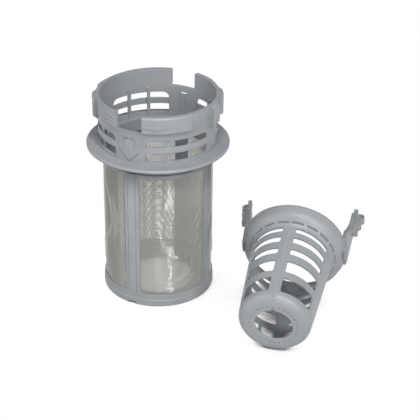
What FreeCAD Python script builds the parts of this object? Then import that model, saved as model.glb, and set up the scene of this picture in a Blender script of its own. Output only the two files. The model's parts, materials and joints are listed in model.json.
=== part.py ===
import FreeCAD, Part
import math
import os
import Sketcher

from FreeCAD import Placement, Rotation, Vector

# Dishwasher filter in millimetres, +Z up: the micro filter stands on the origin, with its foot at Z 0,
# and the coarse basket that was lifted out of it lies on its side in front and to the right.

SIZES = {
    # Collar of the micro filter
    "rim_height": 149.5,
    "bore_top_radius": 40.1,
    "bore_bottom_radius": 39.5,
    "band_radius": 42.6,
    "band_height": 11.1,
    "wall_radius": 41.5,
    "flange_radius": 50.0,
    "collar_height": 35.3,
    "flange_thickness": 2.0,
    "flange_edge": 0.8,
    "ledge_drop": 0.8,
    "seat_gap": 0.4,
    "seat_depth": 0.3,
    "skirt_wall": 1.5,
    "skirt_length": 8.0,
    "collar_turn": -27.5,
    "notch_angle": 26.4,
    "notch_depth": 12.0,
    "catch_slot_angle": 8.2,
    "catch_slot_rise": 17.2,
    "catch_slot_height": 1.9,
    "guide_angle": 5.6,
    "guide_depth": 0.6,
    "window_start": 15.8,
    "window_span": 64.2,
    "window_rise": 2.3,
    "window_height": 15.5,
    "window_corner": 4.2,
    "window_depth_radius": 40.5,
    "hoop_rise": 8.5,
    "hoop_height": 4.5,
    "bar_angle": 3.2,
    "bar_radius": 38.8,
    "bar_rise": 21.4,
    "panel_radius": 44.0,
    "panel_bevel": 1.0,
    "panel_start": 13.2,
    "panel_span": 45.0,
    "lug_radius": 45.0,
    "lug_turn": -60.0,
    "small_lug_turn": -91.0,
    "lug_angle": 17.0,
    "lug_height": 12.2,
    "lug_drop": 1.7,
    "small_lug_radius": 45.2,
    "small_lug_angle": 12.0,
    "relief_height": 0.6,
    "arrow_stem": 7.0,
    "arrow_head": 14.6,
    "arrow_rise": 1.6,
    "arrow_head_length": 7.8,
    "arrow_stem_length": 9.4,
    # Mesh frame
    "frame_outer_radius": 39.2,
    "frame_inner_radius": 37.9,
    "frame_top_ring": 12.2,
    "frame_window_bottom": 9.2,
    "frame_window_corner": 1.6,
    "rib_angle": 16.4,
    "rib_turn": -28.0,
    "rib_strip_angle": 8.0,
    "rib_strip_height": 0.5,
    "foot_radius": 40.1,
    "foot_height": 5.0,
    "foot_step": 0.5,
    "foot_step_height": 3.9,
    "floor_top": 3.0,
    "drain_radius": 26.0,
    "foot_notch_width": 5.0,
    "foot_notch_height": 1.5,
    "snap_angle": 7.0,
    "snap_height": 2.2,
    "snap_drop": 2.4,
    "snap_depth": 0.7,
    # Mesh sleeve
    "mesh_thickness": 0.3,
    "mesh_clearance": 0.05,
    "mesh_overlap": 5.0,
    # Coarse basket, measured along its own axis from the closed end
    "cap_radius": 24.7,
    "cap_round": 5.5,
    "cap_hole_radius": 12.9,
    "cap_notch_radius": 1.3,
    "dimple_ring_radius": 16.0,
    "dimple_radius": 0.55,
    "dimple_depth": 0.5,
    "dimple_count": 28,
    "basket_wall": 1.4,
    "cage_top_radius": 28.8,
    "shoulder_radius": 35.6,
    "shoulder_length": 5.5,
    "lip_length": 7.2,
    "shoulder_softness": 1.2,
    "rim_radius": 36.6,
    "rim_position": 83.0,
    "bead_height": 2.0,
    "bead_size": 0.4,
    "slot_start": 9.0,
    "slot_span": 58.5,
    "slot_corner": 0.8,
    "slit_angle": 16.0,
    "slit_rise": 1.3,
    "slit_height": 0.8,
    "slit_count": 18,
    "ear_angle": 36.0,
    "ear_foot_angle": 13.4,
    "right_ear_radius": 38.8,
    "right_ear_lean": 1.2,
    "left_ear_radius": 37.4,
    "left_ear_lean": 5.2,
    "ear_thickness": 2.8,
    "ear_width": 12.0,
    "ear_foot_length": 7.0,
    "ear_root_width": 24.0,
    "ear_root_length": 23.0,
    "ear_length": 46.5,
    "tip_length": 9.0,
    "tip_width": 4.6,
    "grip_width": 5.0,
    "grip_radius": 3.5,
    "grip_edge_radius": 45.6,
    "grip_drop": 10.3,
    "grip_hollow": 1.1,
    "grip_hollow_depth": 1.5,
    "bump_radius": 3.0,
    "bump_edge_radius": 44.2,
    "bump_drop": 7.6,
    "catch_edge_radius": 42.5,
    "catch_drop": 9.4,
    "catch_length": 5.0,
    # Where the coarse basket lies
    "basket_east": 75.9,
    "basket_south": 97.3,
    "basket_turn": 15.3,
    "basket_roll": -3.0,
}

# Sizes that follow from the ones above
FOLLOWING = {
    "flange_top": "rim_height - collar_height",
    "band_bottom": "rim_height - band_height",
    "notch_bottom": "rim_height - notch_depth",
    "catch_slot_bottom": "flange_top + catch_slot_rise",
    "window_bottom": "flange_top + window_rise",
    "window_top": "window_bottom + window_height",
    "hoop_bottom": "flange_top + hoop_rise",
    "bar_top": "flange_top + bar_rise",
    "lug_top": "rim_height - lug_drop",
    "lug_bottom": "lug_top - lug_height",
    "arrow_tip": "flange_top + arrow_rise",
    "arrow_neck": "arrow_tip + arrow_head_length",
    "arrow_top": "arrow_neck + arrow_stem_length",
    "skirt_outer_radius": "frame_inner_radius - mesh_thickness - 2 * mesh_clearance",
    "seat_radius": "frame_outer_radius + rib_strip_height + seat_gap",
    "seat_level": "flange_top - flange_thickness + seat_depth",
    "frame_window_top": "flange_top - frame_top_ring",
    "shoulder_height": "rim_position - lip_length",
    "cage_length": "shoulder_height - shoulder_length",
    "slit_bottom": "cage_length + slit_rise",
    "ear_foot": "rim_position - ear_foot_length",
    "ear_tip": "rim_position + ear_length",
    "ear_shoulder": "ear_tip - tip_length",
    "grip_position": "ear_tip - grip_drop",
    "bump_position": "grip_position - bump_drop",
    "catch_bottom": "bump_position - catch_drop",
}

# Where each row of the basket's slots begins and ends, as shares of the cage's length
SLOT_ROWS = {
    "one": (0.102, 0.285),
    "two": (0.362, 0.513),
    "three": (0.602, 0.685),
    "four": (0.765, 0.848),
    "five": (0.912, 0.976),
}


def cell(name):
    return "Dimensions." + name


def make_sheet(doc):
    sheet = doc.addObject("Spreadsheet::Sheet", "Dimensions")
    for row, (name, value) in enumerate(SIZES.items(), start=1):
        sheet.set("A%d" % row, name)
        sheet.set("B%d" % row, str(value))
        sheet.setAlias("B%d" % row, name)
    doc.recompute()
    for row, (name, formula) in enumerate(FOLLOWING.items(), start=len(SIZES) + 1):
        sheet.set("A%d" % row, name)
        sheet.set("B%d" % row, "=" + formula)
        sheet.setAlias("B%d" % row, name)
        doc.recompute()


def read(doc, name):
    """The number in a cell of the sheet."""
    return float(doc.getObject("Dimensions").get(name))


def with_cells(formula):
    """A formula in the words of the sheet, with each word turned into a reference to its cell."""
    text = " " + formula + " "
    for mark in "()+-*/":
        text = text.replace(mark, " " + mark + " ")
    words = [cell(word) if word in SIZES or word in FOLLOWING else word for word in text.split()]
    return " ".join(words)


# Sketches and features

def origin_plane(body, role):
    return [part for part in body.Origin.OriginFeatures if part.Role == role][0]


def new_sketch(body, name, role, turn="", lift=""):
    """A sketch on one of the body's own planes, turned about Z or lifted off the plane by a formula."""
    sketch = body.newObject("Sketcher::SketchObject", name)
    sketch.AttachmentSupport = [(origin_plane(body, role), "")]
    sketch.MapMode = "FlatFace"
    if turn:
        sketch.AttachmentOffset = Placement(Vector(), Rotation(Vector(0, 1, 0), 1))
        sketch.setExpression("AttachmentOffset.Rotation.Angle", with_cells(turn))
    if lift:
        sketch.setExpression("AttachmentOffset.Base.z", with_cells(lift))
    return sketch


def bind(sketch, constraint, formula):
    index = sketch.addConstraint(constraint)
    sketch.setExpression("Constraints[%d]" % index, with_cells(formula))


def add_outline(sketch, corners):
    """A closed outline of straight lines, each corner held by a formula across and one up."""
    first = sketch.GeometryCount
    count = len(corners)
    spots = [Vector(30 + 10 * math.cos(i), 30 + i, 0) for i in range(count)]
    for i in range(count):
        sketch.addGeometry(Part.LineSegment(spots[i], spots[(i + 1) % count]), False)
    for i in range(count):
        sketch.addConstraint(Sketcher.Constraint("Coincident", first + i, 2, first + (i + 1) % count, 1))
    for i, (across, up) in enumerate(corners):
        bind(sketch, Sketcher.Constraint("DistanceX", -1, 1, first + i, 1, spots[i].x), across)
        bind(sketch, Sketcher.Constraint("DistanceY", -1, 1, first + i, 1, spots[i].y), up)


def add_box(sketch, left, right, bottom, top):
    add_outline(sketch, [(left, bottom), (right, bottom), (right, top), (left, top)])


def add_circle(sketch, across, up, radius):
    index = sketch.addGeometry(Part.Circle(Vector(10, 10, 0), Vector(0, 0, 1), 5), False)
    bind(sketch, Sketcher.Constraint("DistanceX", -1, 1, index, 3, 10), across)
    bind(sketch, Sketcher.Constraint("DistanceY", -1, 1, index, 3, 10), up)
    bind(sketch, Sketcher.Constraint("Radius", index, 5), radius)


def turned(body, kind, name, sketch, angle=""):
    """A revolution or a groove of the sketch about Z, all round or over an angle with the sketch in its middle."""
    feature = body.newObject("PartDesign::" + kind, name)
    feature.Profile = sketch
    feature.ReferenceAxis = (sketch, ["V_Axis"])
    feature.Angle = 360
    if angle:
        feature.Midplane = True
        feature.setExpression("Angle", with_cells(angle))
    feature.Refine = False
    body.Tip = feature
    return feature


def extruded(body, kind, name, sketch, length, middle=False, backward=False):
    feature = body.newObject("PartDesign::" + kind, name)
    feature.Profile = sketch
    feature.setExpression("Length", with_cells(length))
    feature.Midplane = middle
    feature.Reversed = backward
    feature.Refine = False
    body.Tip = feature
    return feature


def around(body, name, features, count):
    """The features repeated round the body's Z axis."""
    pattern = body.newObject("PartDesign::PolarPattern", name)
    pattern.Originals = features
    axis = [part for part in body.Origin.OriginFeatures if part.Role == "Z_Axis"][0]
    pattern.Axis = (axis, [""])
    pattern.Angle = 360
    pattern.Refine = False
    body.Tip = pattern
    if count in SIZES:
        pattern.setExpression("Occurrences", with_cells(count))
    else:
        pattern.Occurrences = int(count)
    return pattern


def rounded(doc, body, name, wanted, radius, kind="Fillet"):
    """A fillet or chamfer on the edges of the body's tip that pass the test."""
    doc.recompute()
    tip = body.Tip
    names = ["Edge%d" % (i + 1) for i, edge in enumerate(tip.Shape.Edges) if wanted(edge)]
    feature = body.newObject("PartDesign::" + kind, name)
    feature.Base = (tip, names)
    feature.setExpression("Radius" if kind == "Fillet" else "Size", with_cells(radius))
    body.Tip = feature
    return feature


# Tests that pick edges

def is_radial(edge, heights):
    """True for a short straight edge that points at the Z axis, at one of the heights."""
    if not isinstance(edge.Curve, Part.Line):
        return False
    start, end = edge.Vertexes[0].Point, edge.Vertexes[-1].Point
    if abs(start.z - end.z) > 0.01 or not any(abs(start.z - height) < 0.02 for height in heights):
        return False
    return abs(start.x * end.y - start.y * end.x) < 0.01 * start.Length


# Micro filter collar

def collar_shell(body):
    sketch = new_sketch(body, "CollarSection", "XZ_Plane")
    skirt_bottom = "flange_top - flange_thickness - skirt_length"
    add_outline(sketch, [
        ("bore_top_radius", "rim_height"),
        ("band_radius", "rim_height"),
        ("band_radius", "band_bottom"),
        ("wall_radius", "band_bottom - 2 * (band_radius - wall_radius)"),
        ("wall_radius", "flange_top"),
        ("flange_radius - flange_edge", "flange_top"),
        ("flange_radius", "flange_top - flange_edge"),
        ("flange_radius", "flange_top - flange_thickness"),
        ("seat_radius", "flange_top - flange_thickness"),
        ("seat_radius", "seat_level"),
        ("skirt_outer_radius", "seat_level"),
        ("skirt_outer_radius", skirt_bottom),
        ("skirt_outer_radius - skirt_wall", skirt_bottom),
        ("skirt_outer_radius - skirt_wall", "flange_top - ledge_drop"),
        ("bore_bottom_radius", "flange_top - ledge_drop"),
    ])
    turned(body, "Revolution", "CollarShell", sketch)


def collar_panels(body):
    """The raised panels and bayonet lugs round the thick band, each repeated half a turn round."""
    panel = new_sketch(body, "PanelSection", "XZ_Plane", turn="panel_start + panel_span / 2")
    inside = "(bore_top_radius + band_radius) / 2"
    add_outline(panel, [
        (inside, "band_bottom"),
        ("panel_radius", "band_bottom"),
        ("panel_radius", "rim_height - panel_bevel"),
        ("panel_radius - panel_bevel", "rim_height"),
        (inside, "rim_height"),
    ])
    panels = turned(body, "Revolution", "Panel", panel, "panel_span")
    near = new_sketch(body, "NearPanelSection", "XZ_Plane", turn="- panel_start - panel_span / 4")
    add_box(near, inside, "band_radius + relief_height", "band_bottom", "rim_height")
    near_panels = turned(body, "Revolution", "NearPanel", near, "panel_span / 2")
    lugs = []
    for name, turn, radius, angle in (
        ("Lug", "lug_turn", "lug_radius", "lug_angle"),
        ("SmallLug", "small_lug_turn", "small_lug_radius", "small_lug_angle"),
    ):
        sketch = new_sketch(body, name + "Section", "XZ_Plane", turn=turn)
        bevel = "%s - band_radius" % radius
        add_outline(sketch, [
            (inside, "lug_bottom - (%s)" % bevel),
            ("band_radius - relief_height", "lug_bottom - (%s)" % bevel),
            (radius, "lug_bottom"),
            (radius, "lug_top"),
            ("band_radius", "rim_height"),
            (inside, "rim_height"),
        ])
        lugs.append(turned(body, "Revolution", name, sketch, angle))
    around(body, "PanelsAndLugs", [panels, near_panels] + lugs, "2")


def collar_arrow(body):
    """The raised arrow below each notch, trimmed to the round of the wall."""
    sketch = new_sketch(body, "ArrowOutline", "YZ_Plane", lift="wall_radius - 2")
    add_outline(sketch, [
        ("- arrow_stem / 2", "arrow_top"),
        ("- arrow_stem / 2", "arrow_neck"),
        ("- arrow_head / 2", "arrow_neck"),
        ("0", "arrow_tip"),
        ("arrow_head / 2", "arrow_neck"),
        ("arrow_stem / 2", "arrow_neck"),
        ("arrow_stem / 2", "arrow_top"),
    ])
    arrow = extruded(body, "Pad", "Arrow", sketch, "3")
    around(body, "Arrows", [arrow], "2")
    trim = new_sketch(body, "ArrowTrim", "XZ_Plane")
    add_box(trim, "wall_radius + relief_height", "wall_radius + 4", "flange_top + 0.2", "arrow_top + 0.2")
    turned(body, "Groove", "ArrowTrimmed", trim)


def collar_windows(doc, body):
    """Four groups of openings, each crossed on the outside by a hoop, with rounded outer corners."""
    hoop_top = "hoop_bottom + hoop_height"
    groups = []
    for side in ("", "-"):
        sketch = new_sketch(body, "WindowSection", "XZ_Plane", turn="%s (window_start + window_span / 2)" % side)
        add_outline(sketch, [
            ("skirt_outer_radius", "window_bottom"),
            ("flange_radius", "window_bottom"),
            ("flange_radius", "hoop_bottom"),
            ("window_depth_radius", "hoop_bottom"),
            ("window_depth_radius", hoop_top),
            ("flange_radius", hoop_top),
            ("flange_radius", "window_top"),
            ("skirt_outer_radius", "window_top"),
        ])
        groups.append(turned(body, "Groove", "WindowGroup", sketch, "window_span"))
    around(body, "Windows", groups, "2")
    top = [read(doc, "window_top")]
    rounded(doc, body, "WindowCorners", lambda edge: is_radial(edge, top), "window_corner")


def collar_bars(body):
    """The slim bars behind each group of windows, from the ledge to just above the openings."""
    bars = []
    for side in ("", "-"):
        for third in (1, 2):
            turn = "%s (window_start + %d * window_span / 3)" % (side, third)
            sketch = new_sketch(body, "BarSection", "XZ_Plane", turn=turn)
            add_box(sketch, "bar_radius", "window_depth_radius", "flange_top - ledge_drop", "bar_top")
            bars.append(turned(body, "Revolution", "Bar", sketch, "bar_angle"))
    around(body, "Bars", bars, "2")


def collar_notches(body):
    """The two notches in the rim, with the catch slot and the guide groove below each."""
    notch = new_sketch(body, "NotchSection", "XZ_Plane")
    add_box(notch, "bar_radius - 2", "flange_radius", "notch_bottom", "rim_height + 2")
    slot = new_sketch(body, "CatchSlotSection", "XZ_Plane")
    add_box(slot, "bar_radius", "flange_radius", "catch_slot_bottom", "catch_slot_bottom + catch_slot_height")
    guide = new_sketch(body, "GuideSection", "XZ_Plane")
    add_box(guide, "bar_radius - 1", "bore_bottom_radius + guide_depth", "flange_top", "catch_slot_bottom")
    cuts = [
        turned(body, "Groove", "Notch", notch, "notch_angle"),
        turned(body, "Groove", "CatchSlot", slot, "catch_slot_angle"),
        turned(body, "Groove", "Guide", guide, "guide_angle"),
    ]
    around(body, "NotchesAndSlots", cuts, "2")


def collar_snaps(body):
    """Four small snap lugs on the skirt, which click into the slots of the mesh frame."""
    turn = "rib_turn + 45 - collar_turn"
    snap = new_sketch(body, "SnapSection", "XZ_Plane", turn=turn)
    top = "flange_top - flange_thickness - snap_drop - mesh_clearance"
    add_outline(snap, [
        ("skirt_outer_radius - skirt_wall / 2", top),
        ("skirt_outer_radius + snap_depth", top),
        ("skirt_outer_radius", "flange_top - flange_thickness - snap_drop - snap_height + 0.4"),
        ("skirt_outer_radius - skirt_wall / 2",
         "flange_top - flange_thickness - snap_drop - snap_height + 0.4"),
    ])
    lug = turned(body, "Revolution", "Snap", snap, "snap_angle - 1")
    around(body, "Snaps", [lug], "4")


def make_collar(doc):
    body = doc.addObject("PartDesign::Body", "Collar")
    body.Label = "micro_filter_collar"
    collar_shell(body)
    collar_panels(body)
    collar_arrow(body)
    collar_windows(doc, body)
    collar_bars(body)
    collar_notches(body)
    collar_snaps(body)
    body.Placement = Placement(Vector(), Rotation(Vector(0, 0, 1), 1))
    body.setExpression("Placement.Rotation.Angle", with_cells("270 + collar_turn"))
    return body


# Mesh frame

def make_mesh_frame(doc):
    body = doc.addObject("PartDesign::Body", "MeshFrame")
    body.Label = "mesh_frame"
    sketch = new_sketch(body, "FrameSection", "XZ_Plane")
    add_outline(sketch, [
        ("frame_inner_radius", "seat_level"),
        ("frame_outer_radius", "seat_level"),
        ("frame_outer_radius", "foot_height + foot_step_height"),
        ("foot_radius - foot_step", "foot_height + foot_step_height"),
        ("foot_radius - foot_step", "foot_height"),
        ("foot_radius", "foot_height - foot_step"),
        ("foot_radius", "0"),
        ("drain_radius", "0"),
        ("drain_radius", "floor_top"),
        ("frame_inner_radius", "floor_top"),
    ])
    turned(body, "Revolution", "FrameShell", sketch)
    windows = new_sketch(body, "FrameWindowSection", "XZ_Plane", turn="45")
    add_box(windows, "frame_inner_radius - 1", "frame_outer_radius + 1",
            "frame_window_bottom", "frame_window_top")
    window = turned(body, "Groove", "FrameWindow", windows, "90 - rib_angle")
    around(body, "FrameWindows", [window], "4")
    heights = [read(doc, "frame_window_bottom"), read(doc, "frame_window_top")]
    rounded(doc, body, "FrameWindowCorners", lambda edge: is_radial(edge, heights), "frame_window_corner")
    strip = new_sketch(body, "RibStripSection", "XZ_Plane")
    add_box(strip, "(frame_inner_radius + frame_outer_radius) / 2", "frame_outer_radius + rib_strip_height",
            "foot_height + foot_step_height / 2", "frame_window_top + 4")
    strips = turned(body, "Revolution", "RibStrip", strip, "rib_strip_angle")
    around(body, "RibStrips", [strips], "4")
    snap = new_sketch(body, "SnapSlotSection", "XZ_Plane", turn="45")
    add_box(snap, "frame_inner_radius - 1", "frame_outer_radius + 1",
            "flange_top - flange_thickness - snap_drop - snap_height",
            "flange_top - flange_thickness - snap_drop")
    slot = turned(body, "Groove", "SnapSlot", snap, "snap_angle")
    around(body, "SnapSlots", [slot], "4")
    notch = new_sketch(body, "FootNotchOutline", "YZ_Plane", lift="foot_radius - 2")
    add_box(notch, "- foot_notch_width / 2", "foot_notch_width / 2", "- 1", "foot_notch_height")
    cut = extruded(body, "Pocket", "FootNotch", notch, "4", backward=True)
    around(body, "FootNotches", [cut], "2")
    body.Placement = Placement(Vector(), Rotation(Vector(0, 0, 1), 1))
    body.setExpression("Placement.Rotation.Angle", with_cells("270 + rib_turn"))
    return body


# Mesh sleeve

def make_mesh_sleeve(doc):
    body = doc.addObject("PartDesign::Body", "MeshSleeve")
    body.Label = "mesh_sleeve"
    sketch = new_sketch(body, "SleeveSection", "XZ_Plane")
    outer = "frame_inner_radius - mesh_clearance"
    add_box(sketch, outer + " - mesh_thickness", outer,
            "floor_top + mesh_clearance", "frame_window_top + mesh_overlap")
    turned(body, "Revolution", "Sleeve", sketch)
    return body


# Coarse basket

def cap_edge():
    """The rounded edge of the closed end, in short steps from the flat to the wall."""
    steps = 4
    turns = [math.pi / 2 * i / steps for i in range(steps + 1)]
    return [("cap_radius - %.4f * cap_round" % (1 - math.sin(turn)), "%.4f * cap_round" % (1 - math.cos(turn)))
            for turn in turns]


def basket_shell(body):
    sketch = new_sketch(body, "BasketSection", "XZ_Plane")
    inner_bevel = "0.586 * (cap_round - basket_wall)"
    add_outline(sketch, [("cap_hole_radius", "0")] + cap_edge() + [
        ("cage_top_radius - 0.1", "cage_length - 1.4"),
        ("cage_top_radius + shoulder_softness", "cage_length + shoulder_softness * 0.9"),
        ("shoulder_radius - shoulder_softness", "shoulder_height - shoulder_softness * 0.8"),
        ("shoulder_radius + 0.1", "shoulder_height + 1.1"),
        ("rim_radius", "rim_position - bead_height"),
        ("rim_radius + bead_size", "rim_position - bead_height"),
        ("rim_radius + bead_size", "rim_position"),
        ("rim_radius - basket_wall", "rim_position"),
        ("shoulder_radius - basket_wall", "shoulder_height + basket_wall / 2"),
        ("cage_top_radius - basket_wall", "cage_length + basket_wall / 2"),
        ("cap_radius - basket_wall", "basket_wall + " + inner_bevel),
        ("cap_radius - basket_wall - " + inner_bevel, "basket_wall"),
        ("cap_hole_radius", "basket_wall"),
    ])
    turned(body, "Revolution", "BasketShell", sketch)


def basket_slots(doc, body):
    """Five rows of curved slots either side of the top and bottom spines."""
    slots = []
    for side in (-1, 1):
        sketch = new_sketch(body, "SlotRows", "XZ_Plane", turn="90 + %d * (slot_start + slot_span / 2)" % side)
        for start, end in SLOT_ROWS.values():
            add_box(sketch, "cap_hole_radius + 2", "rim_radius", "%s * cage_length" % start, "%s * cage_length" % end)
        slots.append(turned(body, "Groove", "Slots", sketch, "slot_span"))
    around(body, "AllSlots", slots, "2")
    cage = read(doc, "cage_length")
    heights = [share * cage for row in SLOT_ROWS.values() for share in row]
    rounded(doc, body, "SlotCorners", lambda edge: is_radial(edge, heights), "slot_corner", "Chamfer")


def basket_slits(body):
    sketch = new_sketch(body, "SlitSection", "XZ_Plane", turn="90 + 180 / slit_count")
    add_box(sketch, "cage_top_radius - 4", "rim_radius + 2", "slit_bottom", "slit_bottom + slit_height")
    slit = turned(body, "Groove", "Slit", sketch, "slit_angle")
    around(body, "Slits", [slit], "slit_count")


def cap_marks(body):
    """The ring of dimples round the hole in the closed end, and the small notch in the hole's edge."""
    dimple = new_sketch(body, "DimpleOutline", "XY_Plane")
    add_outline(dimple, [
        ("%.3f * dimple_radius" % math.cos(math.pi / 3 * i),
         "dimple_ring_radius + %.3f * dimple_radius" % math.sin(math.pi / 3 * i))
        for i in range(6)
    ])
    cut = extruded(body, "Pocket", "Dimple", dimple, "dimple_depth", backward=True)
    around(body, "Dimples", [cut], "dimple_count")
    notch = new_sketch(body, "CapNotchOutline", "XY_Plane")
    add_circle(notch, "0", "- cap_hole_radius", "cap_notch_radius")
    extruded(body, "Pocket", "CapNotch", notch, "basket_wall + 1", backward=True)


EARS = {"right": "0", "left": "180"}


def ear_face(ear, height):
    """How far out the outer face of an ear stands at a height along the basket."""
    share = "((%s) - rim_position) / (ear_tip - rim_position)" % height
    return "%s_ear_radius + %s_ear_lean * %s" % (ear, ear, share)


def ear_edge(side):
    """The outline of what is cut away on one side of an ear above the rim, seen from outside the basket."""
    rows = [
        ("ear_root_width / 2", "rim_position"),
        ("ear_root_width / 2", "rim_position + 0.25 * ear_root_length"),
        ("0.62 * ear_root_width / 2 + 0.38 * ear_width / 2", "rim_position + 0.5 * ear_root_length"),
        ("0.3 * ear_root_width / 2 + 0.7 * ear_width / 2", "rim_position + 0.73 * ear_root_length"),
        ("ear_width / 2", "rim_position + ear_root_length"),
        ("ear_width / 2", "ear_shoulder - 2"),
        ("ear_width / 2 - 1.2", "ear_shoulder"),
        ("tip_width / 2 + 0.8", "ear_shoulder + 1"),
        ("tip_width / 2", "ear_shoulder + 3"),
        ("tip_width / 2", "ear_tip - 1.2"),
        ("tip_width / 2 - 1", "ear_tip"),
        ("tip_width / 2 - 1", "ear_tip + 3"),
    ]
    far = "%s (ear_root_width)" % side
    near = [("%s (%s)" % (side, across), up) for across, up in rows]
    return [(far, "rim_position")] + near + [(far, "ear_tip + 3")]


def ear_strap(body, ear, turn):
    """The strap of one ear, which follows the round of the rim, with the foot below the rim that carries it."""
    inside = "rim_radius - basket_wall / 2"
    root = "rim_position - bead_height"
    low = ear_face(ear, "rim_position")
    high = ear_face(ear, "ear_tip")
    strap = new_sketch(body, "EarProfile", "XZ_Plane", turn=turn)
    add_outline(strap, [
        (inside, root),
        (low + " - 0.4", root),
        (low, root + " + 0.6"),
        (high, "ear_tip - 1.2"),
        (high + " - 1", "ear_tip"),
        (high + " - ear_thickness + 1", "ear_tip"),
        (high + " - ear_thickness", "ear_tip - 1.2"),
        (low + " - ear_thickness", "rim_position + 2"),
        (inside, "rim_position"),
    ])
    turned(body, "Revolution", "Ear", strap, "ear_angle")
    foot = new_sketch(body, "EarFootProfile", "XZ_Plane", turn=turn)
    add_outline(foot, [
        (inside, "ear_foot"),
        (low + " - 0.8", "ear_foot"),
        (low, "ear_foot + 2"),
        (low, root + " + 0.6"),
        (inside, root + " + 0.6"),
    ])
    turned(body, "Revolution", "EarFoot", foot, "ear_foot_angle")


def basket_ears(body):
    """The two squeeze ears: straps that are broad at the root, with a nub on top."""
    for ear, turn in EARS.items():
        ear_strap(body, ear, turn)
    trims = []
    for side in ("", "-"):
        trim = new_sketch(body, "EarEdge", "YZ_Plane", lift="rim_radius + bead_size")
        add_outline(trim, ear_edge(side))
        trims.append(extruded(body, "Pocket", "EarTrim", trim, "ear_root_width", middle=True))
    around(body, "EarTrims", trims, "2")


def basket_grips(body):
    """The grip on the outside of each ear: two rounded bumps, the upper one hollowed, and the catch below them."""
    for ear, turn in EARS.items():
        catch = new_sketch(body, "CatchOutline", "XZ_Plane", turn=turn)
        add_outline(catch, [
            (ear_face(ear, "catch_bottom") + " - ear_thickness / 2", "catch_bottom"),
            ("catch_edge_radius", "catch_bottom"),
            ("catch_edge_radius", "catch_bottom + catch_length"),
            (ear_face(ear, "grip_position") + " + 1.5", "grip_position"),
            (ear_face(ear, "grip_position") + " - ear_thickness / 2", "grip_position + grip_radius"),
        ])
        extruded(body, "Pad", "Catch", catch, "grip_width", middle=True)
        for name in ("grip", "bump"):
            disc = new_sketch(body, "DiscOutline", "XZ_Plane", turn=turn)
            add_circle(disc, "%s_edge_radius - %s_radius" % (name, name), name + "_position", name + "_radius")
            extruded(body, "Pad", "Disc", disc, "grip_width", middle=True)
    hollows = []
    for side in ("", "-"):
        hollow = new_sketch(body, "GripHollow", "XZ_Plane",
                            lift="%s (grip_width / 2 - grip_hollow_depth)" % side)
        add_circle(hollow, "grip_edge_radius - grip_radius", "grip_position", "grip_radius - grip_hollow")
        hollows.append(extruded(body, "Pocket", "GripHollowed", hollow, "grip_hollow_depth + 1",
                                backward=side == ""))
    around(body, "GripHollows", hollows, "2")


def basket_placement():
    """The basket at rest on its side, on the round of its closed end and on its rim."""
    size = SIZES
    rim_radius = size["rim_radius"] + size["bead_size"]
    cap_centre_radius = size["cap_radius"] - size["cap_round"]
    along = size["rim_position"] - size["bead_height"] - size["cap_round"]
    rise = rim_radius - cap_centre_radius
    span = math.hypot(along, rise)
    tilt = math.asin(rise / span) - math.asin(size["cap_round"] / span)
    height = cap_centre_radius * math.cos(tilt) + size["cap_round"] - size["cap_round"] * math.sin(tilt)
    turn = math.radians(size["basket_turn"])
    axis = Vector(math.sin(turn) * math.cos(tilt), math.cos(turn) * math.cos(tilt), math.sin(tilt))
    across = Vector(math.cos(turn), -math.sin(turn), 0)
    lying = Rotation(across, Vector(), axis, "ZXY")
    roll = Rotation(Vector(0, 0, 1), size["basket_roll"])
    return Placement(Vector(size["basket_east"], -size["basket_south"], height), lying.multiply(roll))


def make_basket(doc):
    body = doc.addObject("PartDesign::Body", "CoarseBasket")
    body.Label = "coarse_basket"
    basket_shell(body)
    basket_slots(doc, body)
    basket_slits(body)
    cap_marks(body)
    basket_ears(body)
    basket_grips(body)
    body.Placement = basket_placement()
    return body


def export_parts(doc, pieces):
    doc.recompute()
    for item in doc.Objects:
        if "Invalid" in item.State or "Error" in item.State:
            raise RuntimeError("%s did not build: %s" % (item.Name, item.State))
    os.makedirs("parts", exist_ok=True)
    for piece in pieces:
        shape = piece.Shape
        if shape.isNull() or not shape.isValid():
            raise RuntimeError(piece.Label + " has no valid shape")
        shape.exportStep("parts/" + piece.Label + ".step")


doc = FreeCAD.newDocument("DishwasherFilter")
make_sheet(doc)
pieces = [make_collar(doc), make_mesh_frame(doc), make_mesh_sleeve(doc), make_basket(doc)]
export_parts(doc, pieces)
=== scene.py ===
import bmesh
import bpy
import json
import math
from mathutils import Matrix, Vector

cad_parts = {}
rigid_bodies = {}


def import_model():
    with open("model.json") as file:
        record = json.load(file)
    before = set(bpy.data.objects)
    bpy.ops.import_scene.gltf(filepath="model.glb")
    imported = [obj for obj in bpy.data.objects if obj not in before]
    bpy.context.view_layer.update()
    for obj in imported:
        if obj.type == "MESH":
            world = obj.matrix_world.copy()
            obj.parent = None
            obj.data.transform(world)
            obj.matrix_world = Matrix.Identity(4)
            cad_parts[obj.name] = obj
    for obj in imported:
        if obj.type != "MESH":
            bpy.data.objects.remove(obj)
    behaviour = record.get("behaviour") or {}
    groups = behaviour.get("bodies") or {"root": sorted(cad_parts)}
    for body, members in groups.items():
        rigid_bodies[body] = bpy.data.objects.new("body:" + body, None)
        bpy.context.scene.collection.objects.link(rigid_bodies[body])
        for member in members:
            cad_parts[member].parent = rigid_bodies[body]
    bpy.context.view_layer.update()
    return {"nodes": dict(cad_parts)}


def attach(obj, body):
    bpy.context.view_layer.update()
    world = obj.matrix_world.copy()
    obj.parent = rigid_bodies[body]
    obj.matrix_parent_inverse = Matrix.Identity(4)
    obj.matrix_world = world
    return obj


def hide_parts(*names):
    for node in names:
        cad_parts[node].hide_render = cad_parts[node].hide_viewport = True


# Dishwasher filter, taken apart for cleaning: the round micro filter stands upright, and the coarse basket
# that was lifted out of it lies on its side in front and to the right. Metres, +Z up.

bpy.ops.object.select_all(action="SELECT")
bpy.ops.object.delete()
scene = bpy.context.scene
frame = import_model()


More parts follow.
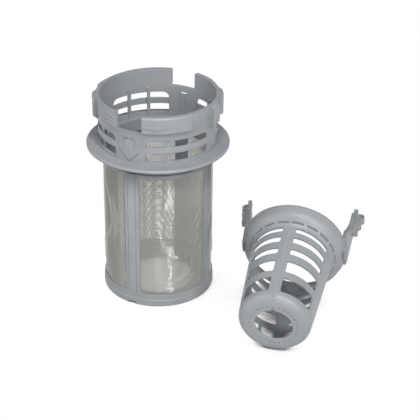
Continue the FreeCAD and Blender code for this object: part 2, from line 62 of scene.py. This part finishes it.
# Collar of the micro filter
# One moulding in grey talc-filled polypropylene: flange, barred windows, notched rim, bayonet lugs and
# panels. The tool leaves every edge a little soft. An arrow and three strokes stand up from the panels.

def linear(code):
    """An sRGB hex colour as the linear values that Blender's sockets take."""
    values = [int(code[i:i + 2], 16) / 255 for i in (1, 3, 5)]
    return tuple(v / 12.92 if v <= 0.04045 else ((v + 0.055) / 1.055) ** 2.4 for v in values) + (1.0,)


def node(tree, kind, values):
    """Adds a node and fills in its fields and sockets.

    A value that is another node's socket is linked, and any other value is set.
    """
    made = tree.nodes.new(kind)
    for name, value in values.items():
        if isinstance(value, bpy.types.NodeSocket):
            tree.links.new(value, made.inputs[name])
        elif isinstance(name, int) or name in made.inputs:
            made.inputs[name].default_value = value
        else:
            setattr(made, name, value)
    return made


def moulded_polypropylene(name, light, dark, flow_turn):
    """Injection-moulded PP: satin, with slow flow shading and a fine spark-eroded grain.

    The flow shading changes over about 30 mm. The real grain is about 0.1 mm, too fine to show, and is drawn
    five times as wide.
    """
    grain_width = 0.0005
    material = bpy.data.materials.new(name)
    material.use_nodes = True
    tree = material.node_tree
    shader = tree.nodes["Principled BSDF"]
    place = node(tree, "ShaderNodeTexCoord", {}).outputs["Object"]
    turned = node(tree, "ShaderNodeMapping", {"Rotation": (0.0, 0.0, flow_turn), "Vector": place})
    flow = node(tree, "ShaderNodeTexNoise", {"Scale": 34.0, "Detail": 3.0, "Roughness": 0.55,
                                             "Distortion": 0.6, "Vector": turned.outputs["Vector"]})
    grain = node(tree, "ShaderNodeTexNoise", {"Scale": 1 / grain_width, "Detail": 2.0, "Vector": place})
    share = node(tree, "ShaderNodeMapRange", {"From Min": 0.3, "From Max": 0.7, "Value": flow.outputs["Fac"]})
    colour = node(tree, "ShaderNodeMix", {"data_type": "RGBA", 6: linear(dark), 7: linear(light),
                                          "Factor": share.outputs["Result"]})
    rough = node(tree, "ShaderNodeMapRange", {"To Min": 0.34, "To Max": 0.48, "Value": flow.outputs["Fac"]})
    softened = node(tree, "ShaderNodeBevel", {"samples": 6, "Radius": 0.0005})
    bump = node(tree, "ShaderNodeBump", {"Strength": 0.22, "Distance": 0.00008,
                                         "Height": grain.outputs["Fac"],
                                         "Normal": softened.outputs["Normal"]})
    tree.links.new(colour.outputs[2], shader.inputs["Base Color"])
    tree.links.new(rough.outputs["Result"], shader.inputs["Roughness"])
    tree.links.new(bump.outputs["Normal"], shader.inputs["Normal"])
    shader.inputs["IOR"].default_value = 1.49
    return material


def placed(name, mesh):
    """A new object in the scene, at the origin."""
    piece = bpy.data.objects.new(name, mesh)
    scene.collection.objects.link(piece)
    return piece


def shade_crisply(work):
    """Smooth over the rounds, and crisp at every edge that turns more sharply than they do."""
    sharpest_round = math.radians(32)
    for edge in work.edges:
        turn = edge.calc_face_angle(0.0) if len(edge.link_faces) == 2 else 0.0
        edge.smooth = turn < sharpest_round
    for face in work.faces:
        face.smooth = True


def clean_copy(cad_node, name):
    """A copy of a moulding with its loose triangles joined, to carry the finish."""
    same_place = 0.000004
    flat = math.radians(0.6)
    mesh = frame["nodes"][cad_node].data.copy()
    mesh.name = name
    work = bmesh.new()
    work.from_mesh(mesh)
    bmesh.ops.remove_doubles(work, verts=work.verts, dist=same_place)
    bmesh.ops.dissolve_limit(work, angle_limit=flat, verts=work.verts, edges=work.edges)
    shade_crisply(work)
    work.to_mesh(mesh)
    work.free()
    mesh.materials.clear()
    return placed(name, mesh)


def ringed_form(name, rings, material):
    """A small closed form of a moulding, skinned over rings of corners in metres."""
    work = bmesh.new()
    made = [[work.verts.new(corner) for corner in ring] for ring in rings]
    for one, two in zip(made, made[1:]):
        for i in range(len(one)):
            j = (i + 1) % len(one)
            work.faces.new((one[i], one[j], two[j], two[i]))
    work.faces.new(made[0])
    work.faces.new(made[-1])
    bmesh.ops.recalc_face_normals(work, faces=work.faces)
    mesh = bpy.data.meshes.new(name)
    work.to_mesh(mesh)
    work.free()
    mesh.materials.append(material)
    piece = placed(name, mesh)
    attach(piece, "root")


def mark_rings(columns, radius, rise):
    """The rings of a thin raised form on a round panel.

    Each column is its turn about the axis in degrees and its lower and upper height in millimetres.
    """
    sunk = -0.2
    slope = 0.15
    rings = []
    for turn, low, high in columns:
        out = Vector((math.sin(math.radians(turn)), -math.cos(math.radians(turn)), 0.0))
        section = ((low, sunk), (low + slope, rise), (high - slope, rise), (high, sunk))
        rings.append([out * (radius + lift) / 1000 + Vector((0.0, 0.0, height / 1000))
                      for height, lift in section])
    return rings


collar_plastic = moulded_polypropylene("collar_grey_polypropylene", "#A0A3A7", "#979A9F", 0.0)
collar = clean_copy("micro_filter_collar", "moulded_collar")
collar.data.materials.append(collar_plastic)
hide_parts("micro_filter_collar")
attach(collar, "root")

arrow_panel_radius = 44.0
arrow_rise = 0.6
arrow = [(-14.4, 141.7, 144.3), (-8.9, 141.7, 144.3), (-3.4, 141.7, 144.3), (-3.3, 139.9, 146.1),
         (0.8, 141.0, 145.0), (4.8, 142.0, 144.0), (8.6, 142.8, 143.2)]
ringed_form("turn_arrow", mark_rings(arrow, arrow_panel_radius, arrow_rise), collar_plastic)

# Three short strokes for the fingertips, one above the other on the left panel, each a little further round
stroke_panel_radius = 43.2
stroke_rise = 0.4
stroke_height = 1.0
stroke_spacing = 2.7
stroke_shift = 1.5
stroke_step = 3.0
lowest_stroke = 139.6
stroke_start = -57.0
for i in range(3):
    low = lowest_stroke + stroke_spacing * i
    start = stroke_start + stroke_shift * i
    stroke = [(start + stroke_step * step, low, low + stroke_height) for step in range(5)]
    ringed_form("grip_stroke_%d" % (i + 1), mark_rings(stroke, stroke_panel_radius, stroke_rise),
                collar_plastic)


# Mesh frame
# The cage under the flange, from the same grey polypropylene: four stepped ribs between the foot and the top
# ring. It is moulded by itself and snaps on the collar's skirt. The joint shows as a fine dark line round the
# top ring: a square groove whose floor is painted near-black, painted shade for the deeper gap behind it.

cage = clean_copy("mesh_frame", "moulded_frame")
groove_low = 0.1051
groove_high = 0.1066
groove_edge = 0.00006
groove_floor = 0.0381
ring_inside = 0.0375
ring_outside = 0.039
ring = bmesh.new()
ring.from_mesh(cage.data)
for height in (groove_low, groove_low + groove_edge, groove_high - groove_edge, groove_high):
    bmesh.ops.bisect_plane(ring, geom=ring.verts[:] + ring.edges[:] + ring.faces[:], dist=0.000001,
                           plane_co=(0.0, 0.0, height), plane_no=(0.0, 0.0, 1.0))
for corner in ring.verts:
    out = math.hypot(corner.co.x, corner.co.y)
    if out > ring_outside and groove_low + groove_edge / 2 < corner.co.z < groove_high - groove_edge / 2:
        corner.co.x *= groove_floor / out
        corner.co.y *= groove_floor / out
# The faces on the groove's floor take the second material: painted shade, near-black
for face in ring.faces:
    middle = face.calc_center_median()
    if ring_inside < math.hypot(middle.x, middle.y) < ring_outside and groove_low < middle.z < groove_high:
        face.material_index = 1
shade_crisply(ring)
ring.to_mesh(cage.data)
ring.free()
cage.data.materials.append(moulded_polypropylene("frame_grey_polypropylene", "#999C9F", "#8F9295", 0.7))
# Second material, painted shade: near-black for the shadow deep in the joint's gap
cage.data.materials.append(moulded_polypropylene("joint_painted_shade", "#1C1E21", "#1C1E21", 0.7))
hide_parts("mesh_frame")
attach(cage, "root")


# Mesh sleeve
# A single layer of plain-woven polyester, rolled into a tube and held by the ribs and both ends of the frame.
# It hangs a little slack between the ribs, in one long soft fold in each window. The real threads lie about
# 0.25 mm apart, too fine to show, so they are drawn 0.75 mm apart.

sleeve_sizes = {"Radius": 0.0384, "Bottom": 0.0092, "Top": 0.102, "Low End": 0.0031, "High End": 0.1069,
                "Thread": 0.000222, "Spacing": 0.00075, "Rib Turn": math.radians(-28.0), "Belly": 0.0003,
                "Fold Lean": 0.071, "Fold Width": 0.14, "Ripple": 0.0003, "Unevenness": 0.00012}
# Where the fold runs in its window: from share to share of the height, between one rib, 0, and the other, 1
fold_path = [(0.0, 0.30), (0.07, 0.36), (0.19, 0.74), (0.33, 0.52), (0.52, 0.24), (0.72, 0.30), (0.88, 0.52),
             (1.0, 0.60)]
fold_swing = 0.31 * math.pi
half_weave = 0.00006
weft_corners = 150
warp_points = 32


def hung(tree, threads, given, offset):
    """The threads moved out to where the slack cloth lies, with an offset to the outside or inside of it.

    The cloth is straight at the ribs and ends. Between them it bellies out a little and ripples every 15 mm
    or so. The fold is a flat facet that swings from side to side up the window, so a lamp shows in it as a
    bright crooked line.
    """
    position = node(tree, "GeometryNodeInputPosition", {}).outputs[0]
    split = node(tree, "ShaderNodeSeparateXYZ", {0: position})
    ripple = node(tree, "ShaderNodeTexNoise", {"Scale": 70.0, "Detail": 1.5, "Vector": position})
    path = node(tree, "ShaderNodeFloatCurve", {})
    line = path.mapping.curves[0]
    for where, amount in fold_path[1:-1]:
        line.points.new(where, amount)
    line.points[0].location = fold_path[0]
    line.points[-1].location = fold_path[-1]
    path.mapping.update()
    known = dict(given.items())
    known.update(split.outputs.items())
    known.update({"ripple": ripple.outputs["Fac"], "path": path.outputs[0]})
    # Each step of the sum is its name, what it does, and the two steps, sockets or numbers that it works on
    for name, operation, one, two in (
            ("front", "MULTIPLY", "Y", -1.0),
            ("turn", "ARCTAN2", "X", "front"),
            ("height", "SUBTRACT", "Top", "Bottom"),
            ("above", "SUBTRACT", "Z", "Bottom"),
            ("share", "DIVIDE", "above", "height"),
            ("from_rib", "SUBTRACT", "turn", "Rib Turn"),
            ("quarter", "DIVIDE", "from_rib", math.pi / 2),
            ("window", "FLOOR", "quarter", 0.0),
            ("part_of_window", "SUBTRACT", "quarter", "window"),
            ("across", "SUBTRACT", "part_of_window", 0.5),
            ("across_phase", "MULTIPLY", "across", math.pi),
            ("off_the_ribs", "COSINE", "across_phase", 0.0),
            ("height_phase", "MULTIPLY", "share", math.pi),
            ("height_sine", "SINE", "height_phase", 0.0),
            ("off_the_ends", "MAXIMUM", "height_sine", 0.0),
            ("slack_height", "POWER", "off_the_ends", 0.5),
            ("slack", "MULTIPLY", "off_the_ribs", "slack_height"),
            ("window_number", "ABSOLUTE", "window", 0.0),
            ("odd_window", "MODULO", "window_number", 2.0),
            ("side_change", "MULTIPLY", "odd_window", 2.0),
            ("side", "SUBTRACT", 1.0, "side_change"),
            ("path_from_middle", "SUBTRACT", "path", 0.5),
            ("sided_path", "MULTIPLY", "path_from_middle", "side"),
            ("fold_turn", "MULTIPLY", "sided_path", fold_swing),
            ("turn_in_window", "MULTIPLY", "across", math.pi / 2),
            ("away", "SUBTRACT", "turn_in_window", "fold_turn"),
            ("flattening", "MULTIPLY", "away", 0.5),
            ("leaning", "ADD", "fold_turn", "Fold Lean"),
            ("slope", "ADD", "flattening", "leaning"),
            ("facet", "MULTIPLY", "away", "slope"),
            ("away_in_widths", "DIVIDE", "away", "Fold Width"),
            ("distance", "ABSOLUTE", "away_in_widths", 0.0),
            ("steep", "POWER", "distance", 4.0),
            ("fall", "MULTIPLY", "steep", -1.0),
            ("fade", "EXPONENT", "fall", 0.0),
            ("fold", "MULTIPLY", "facet", "fade"),
            ("ripple_from_middle", "SUBTRACT", "ripple", 0.5),
            ("ripples", "MULTIPLY", "ripple_from_middle", "Ripple"),
            ("bulge", "ADD", "Belly", "ripples"),
            ("lift", "MULTIPLY", "slack", "bulge"),
            ("fold_height", "POWER", "off_the_ends", 0.2),
            ("held_fold", "MULTIPLY", "fold", "fold_height"),
            ("fold_lift", "MULTIPLY", "held_fold", "Radius"),
            ("whole_lift", "ADD", "lift", "fold_lift"),
            ("cloth", "ADD", "Radius", "whole_lift"),
            ("thread", "ADD", "cloth", offset),
            ("sine", "SINE", "turn", 0.0),
            ("new_x", "MULTIPLY", "sine", "thread"),
            ("cosine", "COSINE", "turn", 0.0),
            ("new_front", "MULTIPLY", "cosine", "thread"),
            ("new_y", "MULTIPLY", "new_front", -1.0)):
        values = {"operation": operation, 0: known.get(one, one), 1: known.get(two, two)}
        known[name] = node(tree, "ShaderNodeMath", values).outputs[0]
    tree.links.new(known["share"], path.inputs["Value"])
    spot = node(tree, "ShaderNodeCombineXYZ", {"X": known["new_x"], "Y": known["new_y"], "Z": known["Z"]})
    return node(tree, "GeometryNodeSetPosition", {"Geometry": threads, "Position": spot.outputs[0]})


# Drawn polyester thread: smooth and glossy, off-white that hot water has yellowed in patches 20 mm wide
polyester = bpy.data.materials.new("woven_polyester_monofilament")
polyester.use_nodes = True
tree = polyester.node_tree
shader = tree.nodes["Principled BSDF"]
place = node(tree, "ShaderNodeTexCoord", {}).outputs["Object"]
stain = node(tree, "ShaderNodeTexNoise", {"Scale": 55.0, "Detail": 3.0, "Vector": place})
tint = node(tree, "ShaderNodeMix", {"data_type": "RGBA", 6: linear("#A3A39D"), 7: linear("#B5B5AE"),
                                    "Factor": stain.outputs["Fac"]})
glint = node(tree, "ShaderNodeTexNoise", {"Scale": 900.0, "Detail": 1.0, "Vector": place})
sheen = node(tree, "ShaderNodeBump", {"Strength": 0.2, "Distance": 0.0002, "Height": glint.outputs["Fac"]})
tree.links.new(tint.outputs[2], shader.inputs["Base Color"])
tree.links.new(sheen.outputs["Normal"], shader.inputs["Normal"])
shader.inputs["Roughness"].default_value = 0.1
shader.inputs["IOR"].default_value = 1.57
shader.inputs["Specular IOR Level"].default_value = 1.0
shader.inputs["Coat Weight"].default_value = 1.0
shader.inputs["Coat Roughness"].default_value = 0.06
shader.inputs["Coat IOR"].default_value = 1.7

weave = bpy.data.node_groups.new("plain_weave_tube", "GeometryNodeTree")
weave.is_modifier = True
for name in sleeve_sizes:
    weave.interface.new_socket(name, in_out="INPUT", socket_type="NodeSocketFloat")
weave.interface.new_socket("Geometry", in_out="OUTPUT", socket_type="NodeSocketGeometry")
given = node(weave, "NodeGroupInput", {}).outputs
low = node(weave, "ShaderNodeCombineXYZ", {"Z": given["Low End"]}).outputs[0]
high = node(weave, "ShaderNodeCombineXYZ", {"Z": given["High End"]}).outputs[0]
jitter = node(weave, "FunctionNodeRandomValue", {"data_type": "FLOAT", 2: -1.0, 3: 1.0, "Seed": 7})
drift = node(weave, "ShaderNodeMath", {"operation": "MULTIPLY", 0: jitter.outputs[1], 1: given["Unevenness"]})

# Weft: rings one above the other, each a little too high or too low
length = node(weave, "ShaderNodeMath", {"operation": "SUBTRACT", 0: given["High End"], 1: given["Low End"]})
rings = node(weave, "ShaderNodeMath", {"operation": "DIVIDE", 0: length.outputs[0], 1: given["Spacing"]})
levels = node(weave, "GeometryNodeMeshLine", {"mode": "END_POINTS", "Count": rings.outputs[0],
                                              "Start Location": low, "Offset": high})
hoop = node(weave, "GeometryNodeCurvePrimitiveCircle", {"Resolution": weft_corners,
                                                        "Radius": given["Radius"]})
weft = node(weave, "GeometryNodeInstanceOnPoints", {"Points": levels.outputs[0], "Instance": hoop.outputs[0]})
down = node(weave, "ShaderNodeCombineXYZ", {"Z": drift.outputs[0]})
uneven_weft = node(weave, "GeometryNodeTranslateInstances", {"Instances": weft.outputs[0],
                                                             "Translation": down.outputs[0]})

# Warp: upright strands side by side, each turned a little too far or not far enough
round_length = node(weave, "ShaderNodeMath", {"operation": "MULTIPLY", 0: given["Radius"], 1: 2 * math.pi})
strands = node(weave, "ShaderNodeMath", {"operation": "DIVIDE", 0: round_length.outputs[0],
                                         1: given["Spacing"]})
stations = node(weave, "GeometryNodeCurvePrimitiveCircle", {"Radius": given["Radius"],
                                                            "Resolution": strands.outputs[0]})
spots = node(weave, "GeometryNodeCurveToPoints", {"mode": "EVALUATED", "Curve": stations.outputs[0]})
upright = node(weave, "GeometryNodeCurvePrimitiveLine", {"Start": low, "End": high})
strand = node(weave, "GeometryNodeResampleCurve", {"Count": warp_points, "Curve": upright.outputs[0]})
warp = node(weave, "GeometryNodeInstanceOnPoints", {"Points": spots.outputs["Points"],
                                                    "Instance": strand.outputs[0]})
small_turn = node(weave, "ShaderNodeMath", {"operation": "DIVIDE", 0: drift.outputs[0], 1: given["Radius"]})
around = node(weave, "ShaderNodeCombineXYZ", {"Z": small_turn.outputs[0]})
uneven_warp = node(weave, "GeometryNodeRotateInstances", {"Local Space": False, "Instances": warp.outputs[0],
                                                          "Rotation": around.outputs[0]})

# Both are laid where the cloth hangs and made solid, the weft outside and the warp inside
both = node(weave, "GeometryNodeJoinGeometry", {})
for threads, offset in ((uneven_weft, half_weave), (uneven_warp, -half_weave)):
    real = node(weave, "GeometryNodeRealizeInstances", {"Geometry": threads.outputs[0]})
    laid = hung(weave, real.outputs[0], given, offset)
    section = node(weave, "GeometryNodeCurvePrimitiveCircle", {"mode": "RADIUS", "Resolution": 3,
                                                               "Radius": given["Thread"]})
    solid = node(weave, "GeometryNodeCurveToMesh", {"Fill Caps": True, "Curve": laid.outputs[0],
                                                    "Profile Curve": section.outputs["Curve"]})
    smooth = node(weave, "GeometryNodeSetShadeSmooth", {"Geometry": solid.outputs["Mesh"]})
    weave.links.new(smooth.outputs[0], both.inputs[0])
whole = node(weave, "GeometryNodeRealizeInstances", {"Geometry": both.outputs[0]})
dyed = node(weave, "GeometryNodeSetMaterial", {"Material": polyester, "Geometry": whole.outputs[0]})
node(weave, "NodeGroupOutput", {"Geometry": dyed.outputs[0]})

loom = placed("loom", bpy.data.meshes.new("loom"))
weaving = loom.modifiers.new("weave", "NODES")
weaving.node_group = weave
sockets = {item.name: item.identifier for item in weave.interface.items_tree if item.in_out == "INPUT"}
for name, value in sleeve_sizes.items():
    weaving[sockets[name]] = value
bpy.context.view_layer.update()
woven = bpy.data.meshes.new_from_object(loom.evaluated_get(bpy.context.evaluated_depsgraph_get()))
loom.modifiers.clear()
bpy.data.objects.remove(loom)
woven.name = "woven_sleeve"
sleeve = placed("woven_sleeve", woven)
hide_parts("mesh_sleeve")
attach(sleeve, "root")


# Coarse basket
# One moulding in the same grey polypropylene: slotted cage, flared shoulder, and two ears that are squeezed
# to lift it out of the collar. It lies on its closed end and its rim. Two small forms are added, measured in
# millimetres across the basket and along its axis from the closed end.

basket_plastic = moulded_polypropylene("basket_grey_polypropylene", "#A2A5A9", "#979B9F", 1.9)
basket = clean_copy("coarse_basket", "moulded_basket")
basket.data.materials.append(basket_plastic)
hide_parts("coarse_basket")
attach(basket, "root")

basket_turn = math.radians(15.3)
basket_rise = math.radians(9.2)
basket_roll = math.radians(-3.0)
basket_end = Vector((75.9, -97.3, 23.574))
along = Vector((math.sin(basket_turn) * math.cos(basket_rise), math.cos(basket_turn) * math.cos(basket_rise),
                math.sin(basket_rise)))
across = Vector((math.cos(basket_turn), -math.sin(basket_turn), 0.0))
lying = Matrix((across, along.cross(across), along)).transposed() @ Matrix.Rotation(basket_roll, 3, "Z")

# The gate mark that the moulding tool leaves on the round of the closed end: a low ring with a dimple
gate_out = Vector((0.0, -0.7071, -0.7071))
gate_side = Vector((1.0, 0.0, 0.0))
gate_up = gate_out.cross(gate_side)
gate_centre = Vector((0.0, -23.05, 1.65))
gate_corners = 20
gate_profile = ((1.9, -0.4), (1.75, 0.3), (1.5, 0.55), (1.15, 0.55), (0.9, 0.25), (0.3, 0.2))
gate_spokes = []
for i in range(gate_corners):
    turn = math.tau * i / gate_corners
    gate_spokes.append(gate_side * math.cos(turn) + gate_up * math.sin(turn))
gate_rings = []
for size, lift in gate_profile:
    gate_rings.append([gate_centre + gate_out * lift + spoke * size for spoke in gate_spokes])

# The slim bar across the large opening underneath, near the closed end. It leans out with the tapered wall.
bar_turn = math.radians(123.0)
bar_out = Vector((math.cos(bar_turn), math.sin(bar_turn), 0.0))
bar_side = Vector((-math.sin(bar_turn), math.cos(bar_turn), 0.0))
bar_taper = 0.06
bar_heights = (5.5, 8.0, 13.5, 19.0, 21.5)
bar_section = ((23.0, -1.1), (23.2, -1.25), (24.0, -1.25), (24.2, -1.1),
               (24.2, 1.1), (24.0, 1.25), (23.2, 1.25), (23.0, 1.1))
bar_rings = []
for height in bar_heights:
    bar_rings.append([bar_out * (radius + bar_taper * height) + bar_side * half + Vector((0.0, 0.0, height))
                      for radius, half in bar_section])

for name, rings in (("gate_mark", gate_rings), ("window_bar", bar_rings)):
    in_place = [[(basket_end + lying @ corner) / 1000 for corner in ring] for ring in rings]
    ringed_form(name, in_place, basket_plastic)


# Floor and light
# A white floor and surround, seen as plain white except close under the object, where a shadow is painted
# into the floor's white glow, darker the more the object covers it, and three soft lamps in front. The tall
# narrow one on the right is the lamp that shows in the mesh as a bright crooked line.

reach = 3.0
floor_drop = -0.0002
floor_mesh = bpy.data.meshes.new("floor")
floor_mesh.from_pydata([(-reach, -reach, floor_drop), (reach, -reach, floor_drop), (reach, reach, floor_drop),
                        (-reach, reach, floor_drop)], [], [(0, 1, 2, 3)])
floor = placed("floor", floor_mesh)
floor_paint = bpy.data.materials.new("white_card")
floor_paint.use_nodes = True
tree = floor_paint.node_tree
card = tree.nodes["Principled BSDF"]
card.inputs["Base Color"].default_value = linear("#C9C9C9")
card.inputs["Roughness"].default_value = 0.9
pure_white = (1.0, 1.0, 1.0, 1.0)
rays = node(tree, "ShaderNodeLightPath", {}).outputs
direct = node(tree, "ShaderNodeMath", {"operation": "MAXIMUM", 0: rays["Is Camera Ray"],
                                       1: rays["Is Glossy Ray"]})
seen = node(tree, "ShaderNodeMath", {"operation": "MAXIMUM", 0: direct.outputs[0],
                                     1: rays["Is Transmission Ray"]})
# Painted shadow: the floor's glow dims to a tenth where the object covers it closely from above
closeness = node(tree, "ShaderNodeAmbientOcclusion", {"samples": 16, "Distance": 0.08})
clear = node(tree, "ShaderNodeMapRange", {"From Min": 0.23, "From Max": 0.42, "To Min": 0.1,
                                          "Value": closeness.outputs["AO"]})
glow = node(tree, "ShaderNodeEmission", {"Color": pure_white, "Strength": clear.outputs["Result"]})
mixed = node(tree, "ShaderNodeMixShader", {0: seen.outputs[0], 1: card.outputs[0], 2: glow.outputs[0]})
tree.links.new(mixed.outputs[0], tree.nodes["Material Output"].inputs["Surface"])
floor_mesh.materials.append(floor_paint)

world = bpy.data.worlds.new("surround")
scene.world = world
world.use_nodes = True
tree = world.node_tree
tree.nodes.clear()
rays = node(tree, "ShaderNodeLightPath", {}).outputs
seen = node(tree, "ShaderNodeMath", {"operation": "MAXIMUM", 0: rays["Is Camera Ray"],
                                     1: rays["Is Transmission Ray"]})
room = node(tree, "ShaderNodeBackground", {"Color": pure_white, "Strength": 0.18})
backdrop = node(tree, "ShaderNodeBackground", {"Color": pure_white, "Strength": 1.0})
shown = node(tree, "ShaderNodeMixShader", {0: seen.outputs[0], 1: room.outputs[0], 2: backdrop.outputs[0]})
node(tree, "ShaderNodeOutputWorld", {"Surface": shown.outputs[0]})


def softbox(name, place, width, height, power):
    """A rectangular lamp of so many watts, turned to the middle of the object."""
    aim = Vector((0.03, 0.0, 0.07))
    lamp = bpy.data.lights.new(name, "AREA")
    lamp.shape = "RECTANGLE"
    lamp.size = width
    lamp.size_y = height
    lamp.energy = power
    box = placed(name, lamp)
    box.location = place
    box.rotation_euler = (aim - Vector(place)).to_track_quat("-Z", "Y").to_euler()


softbox("key_light", (0.06, -0.7, 1.25), 0.4, 0.4, 8.5)
softbox("strip_light", (0.53, -1.08, 0.75), 0.06, 0.9, 9.5)
softbox("left_light", (-0.9, -0.35, 0.55), 0.6, 0.6, 3.5)


# Camera
# Where the photograph was taken from: in front, a little above, with a long lens. The object lies off centre.

camera = bpy.data.cameras.new("photo_camera")
camera.lens = 97.8
camera.sensor_width = 36.0
camera.shift_x = 0.0978
camera.clip_start = 0.01
view = placed("photo_camera", camera)
view.location = (0.0, -0.71608, 0.46521)
view.rotation_euler = (math.radians(60.286), 0.0, math.radians(-0.607))
scene.camera = view
scene.view_settings.view_transform = "Standard"
